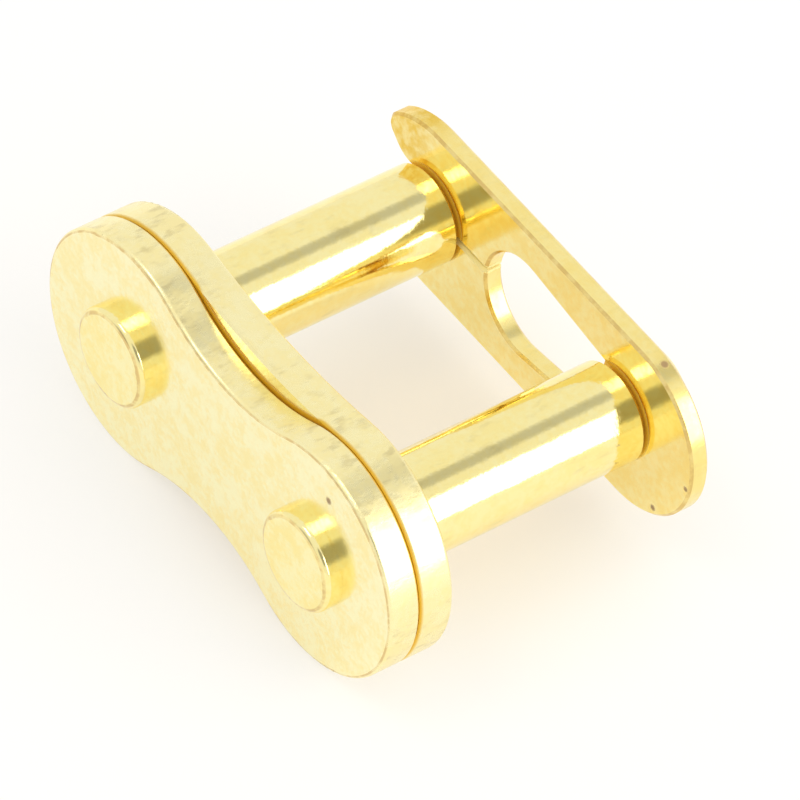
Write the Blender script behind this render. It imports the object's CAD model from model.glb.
from math import cos, pi, radians

import bmesh
import bpy
from mathutils import Matrix, Vector


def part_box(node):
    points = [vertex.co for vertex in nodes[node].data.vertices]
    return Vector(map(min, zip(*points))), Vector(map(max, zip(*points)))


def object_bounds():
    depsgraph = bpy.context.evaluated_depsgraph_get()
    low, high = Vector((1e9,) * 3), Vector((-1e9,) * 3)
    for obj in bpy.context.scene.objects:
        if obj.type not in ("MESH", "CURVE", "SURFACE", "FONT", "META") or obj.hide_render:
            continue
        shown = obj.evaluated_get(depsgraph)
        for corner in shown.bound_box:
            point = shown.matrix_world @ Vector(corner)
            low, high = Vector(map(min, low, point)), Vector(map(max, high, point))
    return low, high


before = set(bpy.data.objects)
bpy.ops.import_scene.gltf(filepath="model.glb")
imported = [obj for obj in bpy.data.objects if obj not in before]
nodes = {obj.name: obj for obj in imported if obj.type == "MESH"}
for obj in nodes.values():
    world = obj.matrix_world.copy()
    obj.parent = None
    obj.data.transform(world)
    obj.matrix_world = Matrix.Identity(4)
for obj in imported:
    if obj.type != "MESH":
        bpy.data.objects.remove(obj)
cad_low, cad_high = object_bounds()
scene = bpy.context.scene

MM = 0.001


# Shader maths


class Value:
    """A number or colour that varies over a surface. Arithmetic on it adds Math nodes."""

    def __init__(self, graph, socket):
        self.graph = graph
        self.socket = socket

    def math(self, operation, first, second=0.0):
        return self.graph.node("ShaderNodeMath", {"operation": operation}, {0: first, 1: second})

    def __add__(self, other):
        return self.math("ADD", self, other)

    __radd__ = __add__

    def __mul__(self, other):
        return self.math("MULTIPLY", self, other)

    __rmul__ = __mul__

    def __sub__(self, other):
        return self.math("SUBTRACT", self, other)

    def __rsub__(self, other):
        return self.math("SUBTRACT", other, self)

    def __abs__(self):
        return self.math("ABSOLUTE", self)

    def or_more(self, other):
        """The greater of two values."""
        return self.math("MAXIMUM", self, other)

    def ramp(self, low, high):
        """0 where the value is low, 1 where it is high, with soft ends."""
        settings = {"interpolation_type": "SMOOTHSTEP"}
        inputs = {"Value": self, "From Min": low, "From Max": high}
        return self.graph.node("ShaderNodeMapRange", settings, inputs)


class Graph:
    """The node tree of one material or of the world."""

    def __init__(self, tree):
        self.tree = tree
        tree.nodes.clear()

    def node(self, kind, settings=None, inputs=None, output=0):
        """Add a node: its settings first, then the numbers and links of its sockets."""
        made = self.tree.nodes.new(kind)
        for name, value in (settings or {}).items():
            setattr(made, name, value)
        for name, value in (inputs or {}).items():
            if isinstance(value, Value):
                self.tree.links.new(value.socket, made.inputs[name])
            else:
                made.inputs[name].default_value = value
        return Value(self, made.outputs[output] if made.outputs else None)

    def mix(self, share, first, second):
        """Blend two colours."""
        settings = {"data_type": "RGBA"}
        return self.node("ShaderNodeMix", settings, {0: share, 6: first, 7: second}, output=2)

    def noise(self, place, scale, detail=2.0, roughness=0.5):
        """Even noise about 0.5, scale cells a unit of place."""
        inputs = {"Vector": place, "Scale": scale, "Detail": detail, "Roughness": roughness}
        return self.node("ShaderNodeTexNoise", None, inputs)

    def stretched(self, place, factors):
        """Place multiplied by a factor along each axis."""
        settings = {"operation": "MULTIPLY"}
        return self.node("ShaderNodeVectorMath", settings, {0: place, 1: factors})

    def along(self, vector, axis):
        """One of a vector's three numbers."""
        return self.node("ShaderNodeSeparateXYZ", None, {0: vector}, output=axis)

    def place(self):
        """Place on the piece, in millimetres."""
        metres = self.node("ShaderNodeTexCoord", output="Object")
        return self.node("ShaderNodeVectorMath", {"operation": "SCALE"}, {0: metres, "Scale": 1 / MM})

    def within(self, place, centre, inner, outer):
        """1 nearer than inner to a point, 0 past outer, in millimetres."""
        settings = {"operation": "DISTANCE"}
        distance = self.node("ShaderNodeVectorMath", settings, {0: place, 1: centre}, output="Value")
        return 1 - distance.ramp(inner, outer)


# Where the narrow gaps are, in millimetres

outer_low, outer_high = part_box("outer_plate")
cover_low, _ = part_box("cover_plate")
clip_low, clip_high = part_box("spring_clip")
split_pin, closed_pin = (
    sum((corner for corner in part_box(pin)), Vector()) / 2 / MM
    for pin in ("split_end_pin", "closed_end_pin")
)

WAIST_DEPTH = 1.5           # of the outer plate, below its ends
SEAM_CORE = 0.05            # each side of the middle of the seam between the plates
SEAM_REACH = 0.17
BAND_INSIDE = 0.22          # of the faces inside the outer plate's outline
BAND_INSIDE_FADE = 0.08
BAND_OUTSIDE = 0.08         # and outside it
BAND_OUTSIDE_FADE = 0.12
WAIST_END_FADE = 0.05
BORE_REACH = 2.3            # from a pin's axis, just past the cover plate's bore
BORE_FADE = 0.03
SHOULDER_REACH = 0.145      # before the clip, just past a pin's shoulder
SHOULDER_FADE = 0.025
HEAD_REACH = 0.07           # beyond the clip, just past the foot of a pin's head
HEAD_FADE = 0.03
SEAT_REACH = 2.15           # from a pin's axis, on the clip under the shoulder
SEAT_FADE = 0.12
SLIT_REACH = 0.19           # each side of the slit's middle, with its chamfers
SLIT_FADE = 0.03
SLIT_ENDS = (-4.9, -2.15)
SLIT_ENDS_FADE = (0.2, 0.15)
AMBER_START = -6.0          # where the clip's split end begins to turn amber
AMBER_FADE = 2.0

HALF_PITCH = (closed_pin.x - split_pin.x) / 2
END_RADIUS = outer_high.x / MM - HALF_PITCH
WAIST = END_RADIUS - WAIST_DEPTH
WAIST_RADIUS = (HALF_PITCH**2 + WAIST**2 - END_RADIUS**2) / (2 * WAIST_DEPTH)
WAIST_END_X = HALF_PITCH * WAIST_RADIUS / (END_RADIUS + WAIST_RADIUS)
SEAM_Y = (outer_high.y + cover_low.y) / 2 / MM
OUTER_FACE_Y = outer_low.y / MM
CLIP_NEAR_Y = clip_low.y / MM
CLIP_FAR_Y = clip_high.y / MM


def seam_between_plates(graph, place, squareness):
    """The chamfers that meet along the outer plate's outline, the faces by them, and the bores."""
    x = graph.along(place, "X")
    y = graph.along(place, "Y")
    flat = graph.stretched(place, (1.0, 0.0, 1.0))
    quarter = graph.node("ShaderNodeVectorMath", {"operation": "ABSOLUTE"}, {0: flat})
    pin = (HALF_PITCH, 0.0, 0.0)
    waist = (0.0, 0.0, WAIST + WAIST_RADIUS)

    # The outline's ends curve about the pins and its waist about a point above the plate
    inner, outer = END_RADIUS - BAND_INSIDE, END_RADIUS + BAND_OUTSIDE
    band_at_end = 1 - graph.within(quarter, pin, inner - BAND_INSIDE_FADE, inner)
    edge_at_end = graph.within(quarter, pin, outer, outer + BAND_OUTSIDE_FADE)
    inner, outer = WAIST_RADIUS + BAND_INSIDE, WAIST_RADIUS - BAND_OUTSIDE
    band_at_waist = graph.within(quarter, waist, inner, inner + BAND_INSIDE_FADE)
    edge_at_waist = 1 - graph.within(quarter, waist, outer - BAND_OUTSIDE_FADE, outer)
    past_waist = abs(x).ramp(WAIST_END_X - WAIST_END_FADE, WAIST_END_X + WAIST_END_FADE)
    band = past_waist * band_at_end + (1 - past_waist) * band_at_waist
    edge = past_waist * edge_at_end + (1 - past_waist) * edge_at_waist

    inward_face = squareness.ramp(0.93, 0.97)
    between = 1 - abs(y - SEAM_Y).ramp(SEAM_CORE, SEAM_REACH)
    seam = between * edge * (1 - inward_face * (1 - band))
    bore = graph.within(quarter, pin, BORE_REACH, BORE_REACH + BORE_FADE) * y.ramp(0.0, BORE_FADE)
    return seam.or_more(bore)


def neck_of_pin(graph, place, squareness):
    """The neck and the shoulders beside the clip."""
    y = graph.along(place, "Y")
    start = CLIP_NEAR_Y - SHOULDER_REACH
    end = CLIP_FAR_Y + HEAD_REACH
    return y.ramp(start - SHOULDER_FADE, start) * (1 - y.ramp(end, end + HEAD_FADE))


def clip_round_pins(graph, place, squareness):
    """The clip close round both pins, under their shoulders and heads."""
    flat = graph.stretched(place, (1.0, 0.0, 1.0))
    seats = [
        graph.within(flat, (axis.x, 0.0, 0.0), SEAT_REACH, SEAT_REACH + SEAT_FADE)
        for axis in (split_pin, closed_pin)
    ]
    return seats[0] + seats[1]


def slit_of_clip(graph, place):
    """The thin slit between the clip's legs, from the keyhole to the neck it grips."""
    x = graph.along(place, "X")
    z = graph.along(place, "Z")
    start, end = SLIT_ENDS
    start_fade, end_fade = SLIT_ENDS_FADE
    between = x.ramp(start, start + start_fade) * (1 - x.ramp(end - end_fade, end))
    return (1 - abs(z).ramp(SLIT_REACH, SLIT_REACH + SLIT_FADE)) * between


# Plated finishes

RUBBED_THROUGH = (0.66, 0.43, 0.17, 1.0)    # along a plate's rolled edge
CHAMFER_TAN = (0.62, 0.38, 0.12, 1.0)
STAMPING_STAIN = (0.55, 0.45, 0.22, 1.0)
PIT_BROWN = (0.28, 0.15, 0.07, 1.0)
PIT_COVER = 0.85
PIT_CORE = 0.4              # of its radius; past this a pit fades out
CREVICE_DULLNESS = 0.8      # how far light in a crevice looks like paint, not metal
DULL_ROUGHNESS = 0.3        # added where the metal is dull


def plating(
    name, pale, deep, amber, polish, rim, dimple, streaks, stained, edging,
    crevice, pits=(), amber_end=None, slit=None,
):
    """Thin gold-coloured plating over steel, mottled from pale to deep.

    Polish is the roughness and rim what a stamped rim adds to it. Dimple is the depth of the
    tumbled surface in mm and streaks that of the marks across a rim. Stained is how strongly
    those marks are stained, and edging the strength of the tan line along a chamfer. Crevice
    finds the narrow gaps, where light bounces from gold to gold and turns amber. Pits gives
    the centre and radius of each dark pit, amber_end the colour that the clip's split end
    turns to, and slit finds a cut that lets in little light and is kept pale.
    """
    material = bpy.data.materials.new(name)
    material.use_nodes = True
    graph = Graph(material.node_tree)
    place = graph.place()
    normal = graph.node("ShaderNodeNewGeometry", output="Normal")

    # Squareness to the pins tells faces (1), rolled edges, chamfers (0.7) and rims (0) apart
    squareness = abs(graph.along(normal, "Y"))
    edge = 1 - squareness.ramp(0.93, 0.99)
    rolled = squareness.ramp(0.7, 0.88) * (1 - squareness.ramp(0.975, 0.995))
    chamfered = squareness.ramp(0.55, 0.68) * (1 - squareness.ramp(0.74, 0.87))
    side = 1 - squareness.ramp(0.1, 0.3)

    # Noises, from broad to fine, and one drawn out along the pins
    cloud = graph.noise(place, 0.5)
    patch = graph.noise(place, 1.6, 3.0, 0.6)
    grain = graph.noise(place, 4.0, 3.0, 0.6)
    drawn = graph.noise(graph.stretched(place, (1.0, 0.4, 1.0)), 2.6, 3.0, 0.55)
    worn = patch.ramp(0.4, 0.6)

    tone = (cloud * 0.3 + patch * 0.4 + grain * 0.3).ramp(0.4, 0.6)
    colour = graph.mix(tone * (0.65 - 0.3 * edge) + edge * 0.36, pale, deep)
    if amber_end:
        reach = (AMBER_START - graph.along(place, "X")).ramp(0.0, AMBER_FADE)
        colour = graph.mix(reach * (0.3 + 0.7 * patch.ramp(0.32, 0.66)), colour, amber_end)
    colour = graph.mix(rolled * (0.25 + 0.45 * worn), colour, RUBBED_THROUGH)
    colour = graph.mix(chamfered * edging * (0.5 + 0.5 * worn), colour, CHAMFER_TAN)
    stain = side * drawn.ramp(0.5, 0.7) * cloud.ramp(0.4, 0.6)
    colour = graph.mix(stain * stained, colour, STAMPING_STAIN)

    tight = crevice(graph, place, squareness)
    colour = graph.mix(tight, colour, amber)
    dull = tight * CREVICE_DULLNESS
    if slit:
        cut = slit(graph, place)
        colour = graph.mix(cut, colour, pale)
        dull = dull.or_more(cut)
    for centre, radius in pits:
        pit = graph.within(place, centre, PIT_CORE * radius, radius)
        colour = graph.mix(pit * PIT_COVER, colour, PIT_BROWN)
        dull = dull + pit

    rough = polish + rim * edge + (patch - 0.5) * 0.12 + (grain - 0.5) * 0.08 + dull * DULL_ROUGHNESS
    height = (patch * 1.2 + grain * 0.5) * dimple + drawn * edge * streaks
    bump = graph.node("ShaderNodeBump", None, {"Strength": 1.0, "Distance": MM, "Height": height})
    surface = graph.node(
        "ShaderNodeBsdfPrincipled",
        None,
        {"Base Color": colour, "Metallic": 1 - dull, "Roughness": rough, "Normal": bump},
    )
    graph.node("ShaderNodeOutputMaterial", None, {"Surface": surface})
    return material


def by_pin(pin, right, up, y):
    """A place to the right of and above a pin's axis, in millimetres."""
    return (pin.x + right, y, up)


PIN_GAP_AMBER = (0.95, 0.64, 0.06, 1.0)
CLIP_RIM_Y = CLIP_NEAR_Y + 0.52     # a little past the middle of the clip's rim

plate_plating = plating(
    "plate_plating",
    pale=(1.0, 0.94, 0.58, 1.0),
    deep=(1.0, 0.84, 0.36, 1.0),
    amber=(0.78, 0.48, 0.025, 1.0),
    polish=0.2,
    rim=0.08,
    dimple=0.006,
    streaks=0.018,
    stained=0.4,
    edging=0.0,
    crevice=seam_between_plates,
    pits=[(by_pin(closed_pin, 0.64, 3.88, OUTER_FACE_Y), 0.22)],
)
pin_plating = plating(
    "pin_plating",
    pale=(1.0, 0.92, 0.5, 1.0),
    deep=(1.0, 0.82, 0.29, 1.0),
    amber=PIN_GAP_AMBER,
    polish=0.1,
    rim=0.0,
    dimple=0.006,
    streaks=0.0,
    stained=0.18,
    edging=0.0,
    crevice=neck_of_pin,
)
clip_plating = plating(
    "clip_plating",
    pale=(1.0, 0.88, 0.42, 1.0),
    deep=(0.98, 0.76, 0.22, 1.0),
    amber=PIN_GAP_AMBER,
    polish=0.13,
    rim=0.08,
    dimple=0.003,
    streaks=0.006,
    stained=0.12,
    edging=0.6,
    crevice=clip_round_pins,
    pits=[
        (by_pin(closed_pin, 4.75, -0.3, CLIP_NEAR_Y), 0.16),
        (by_pin(closed_pin, 3.12, -2.99, CLIP_NEAR_Y), 0.19),
        (by_pin(closed_pin, 1.78, 4.04, CLIP_RIM_Y), 0.24),
    ],
    amber_end=(0.86, 0.57, 0.07, 1.0),
    slit=slit_of_clip,
)

finishes = {
    "outer_plate": plate_plating,
    "cover_plate": plate_plating,
    "split_end_pin": pin_plating,
    "closed_end_pin": pin_plating,
    "spring_clip": clip_plating,
}
for name, finish in finishes.items():
    for slot in nodes[name].material_slots:
        slot.material = finish


# Floor, light and camera

WHITE = (1.0, 1.0, 1.0, 1.0)
PALE_PAPER = (1.0, 0.96, 0.88, 1.0)
WARM_PAPER = (1.0, 0.87, 0.62, 1.0)     # under the link, where gold light falls on it
WARM_CENTRE = (2.0, 8.0, cad_low.z / MM)
WARM_INNER = 3.0                        # from the centre, mm
WARM_OUTER = 14.0
FLOOR_HALF_SIDE = 1.2                   # m
FLOOR_GLOW = 0.62                       # how far the floor looks plain white
WARM_GLOW = 0.42                        # and under the link, where shadows show more

CEILING = (0.02, 0.42, 0.90)            # the darker places of the room, from the link
STAND = (0.675, -0.42, 0.60)
DOORWAY = (-0.25, -0.92, 0.22)
ROOM_LEVEL = 0.93                       # brightness beside white
LAMP_DISTANCE = 1.5                     # m


def lay_floor():
    """A plain pale floor, level with the lowest point of the link."""
    shape = bmesh.new()
    bmesh.ops.create_grid(shape, x_segments=1, y_segments=1, size=FLOOR_HALF_SIDE)
    bmesh.ops.translate(shape, verts=shape.verts, vec=(0.0, 0.0, cad_low.z))
    mesh = bpy.data.meshes.new("floor")
    shape.to_mesh(mesh)
    shape.free()
    floor = bpy.data.objects.new("floor", mesh)
    scene.collection.objects.link(floor)
    material = bpy.data.materials.new("floor_card")
    material.use_nodes = True
    graph = Graph(material.node_tree)
    warmed = graph.within(graph.place(), WARM_CENTRE, WARM_INNER, WARM_OUTER)
    paper = graph.mix(warmed, PALE_PAPER, WARM_PAPER)
    card = graph.node("ShaderNodeBsdfDiffuse", None, {"Color": paper})
    white = graph.node("ShaderNodeEmission", None, {"Color": WHITE, "Strength": 1.0})
    seen = graph.node("ShaderNodeLightPath", output="Is Camera Ray")
    mirrored = graph.node("ShaderNodeLightPath", output="Is Glossy Ray")
    through = graph.node("ShaderNodeLightPath", output="Is Transmission Ray")
    share = (FLOOR_GLOW - (FLOOR_GLOW - WARM_GLOW) * warmed) * (seen + mirrored + through)
    surface = graph.node("ShaderNodeMixShader", None, {0: share, 1: card, 2: white})
    graph.node("ShaderNodeOutputMaterial", None, {"Surface": surface})
    mesh.materials.append(material)


def light_room():
    """A pale room, darker towards the ceiling past the lamps, the camera's stand and a doorway."""
    world = bpy.data.worlds.new("studio")
    world.use_nodes = True
    scene.world = world
    graph = Graph(world.node_tree)
    towards = graph.node("ShaderNodeTexCoord", output="Generated")

    def near(direction, inner, outer):
        """1 within the inner angle of a direction, 0 past the outer one, in degrees."""
        settings = {"operation": "DOT_PRODUCT"}
        centre = Vector(direction).normalized()
        inputs = {0: towards, 1: centre}
        nearness = graph.node("ShaderNodeVectorMath", settings, inputs, output="Value")
        return nearness.ramp(cos(radians(outer)), cos(radians(inner)))

    ceiling = near(CEILING, 4.0, 14.0)
    stand = near(STAND, 13.0, 23.0)
    doorway = near(DOORWAY, 6.0, 20.0)
    level = ROOM_LEVEL - 0.36 * ceiling - 0.55 * stand - 0.34 * doorway
    background = graph.node("ShaderNodeBackground", None, {"Color": WHITE, "Strength": level})
    graph.node("ShaderNodeOutputWorld", None, {"Surface": background})


def hang_softbox(name, towards, width, height, level):
    """A soft lamp in a direction from the link; level is its brightness beside white."""
    lamp = bpy.data.lights.new(name, "AREA")
    lamp.shape = "RECTANGLE"
    lamp.size = width
    lamp.size_y = height
    lamp.energy = level * pi * width * height
    hung = bpy.data.objects.new(name, lamp)
    direction = Vector(towards).normalized()
    hung.location = direction * LAMP_DISTANCE
    hung.rotation_mode = "QUATERNION"
    hung.rotation_quaternion = direction.to_track_quat("Z", "Y")
    scene.collection.objects.link(hung)


def aim_camera(eye, target, up, lens):
    """Put the camera at the eye, looking at the target, with its top towards up."""
    camera = bpy.data.cameras.new("camera")
    camera.lens = lens
    camera.sensor_width = 36.0
    camera.clip_start = 0.01
    camera.clip_end = 10.0
    held = bpy.data.objects.new("camera", camera)
    back = (Vector(eye) - Vector(target)).normalized()
    right = Vector(up).cross(back).normalized()
    top = back.cross(right)
    turn = Matrix((right, top, back)).transposed()
    held.matrix_world = Matrix.Translation(eye) @ turn.to_4x4()
    scene.collection.objects.link(held)
    scene.camera = held


lay_floor()
light_room()
hang_softbox("side_softbox", towards=(0.83, 0.42, 0.42), width=1.7, height=1.2, level=2.1)
hang_softbox("top_softbox", towards=(-0.217, -0.422, 0.88), width=0.6, height=0.45, level=2.4)
aim_camera(
    eye=(0.210234, -0.187871, 0.308152),
    target=(0.00104, 0.00698, -0.00065),
    up=(-0.63694, 0.37958, 0.67099),
    lens=470.0,
)
scene.view_settings.view_transform = "Standard"
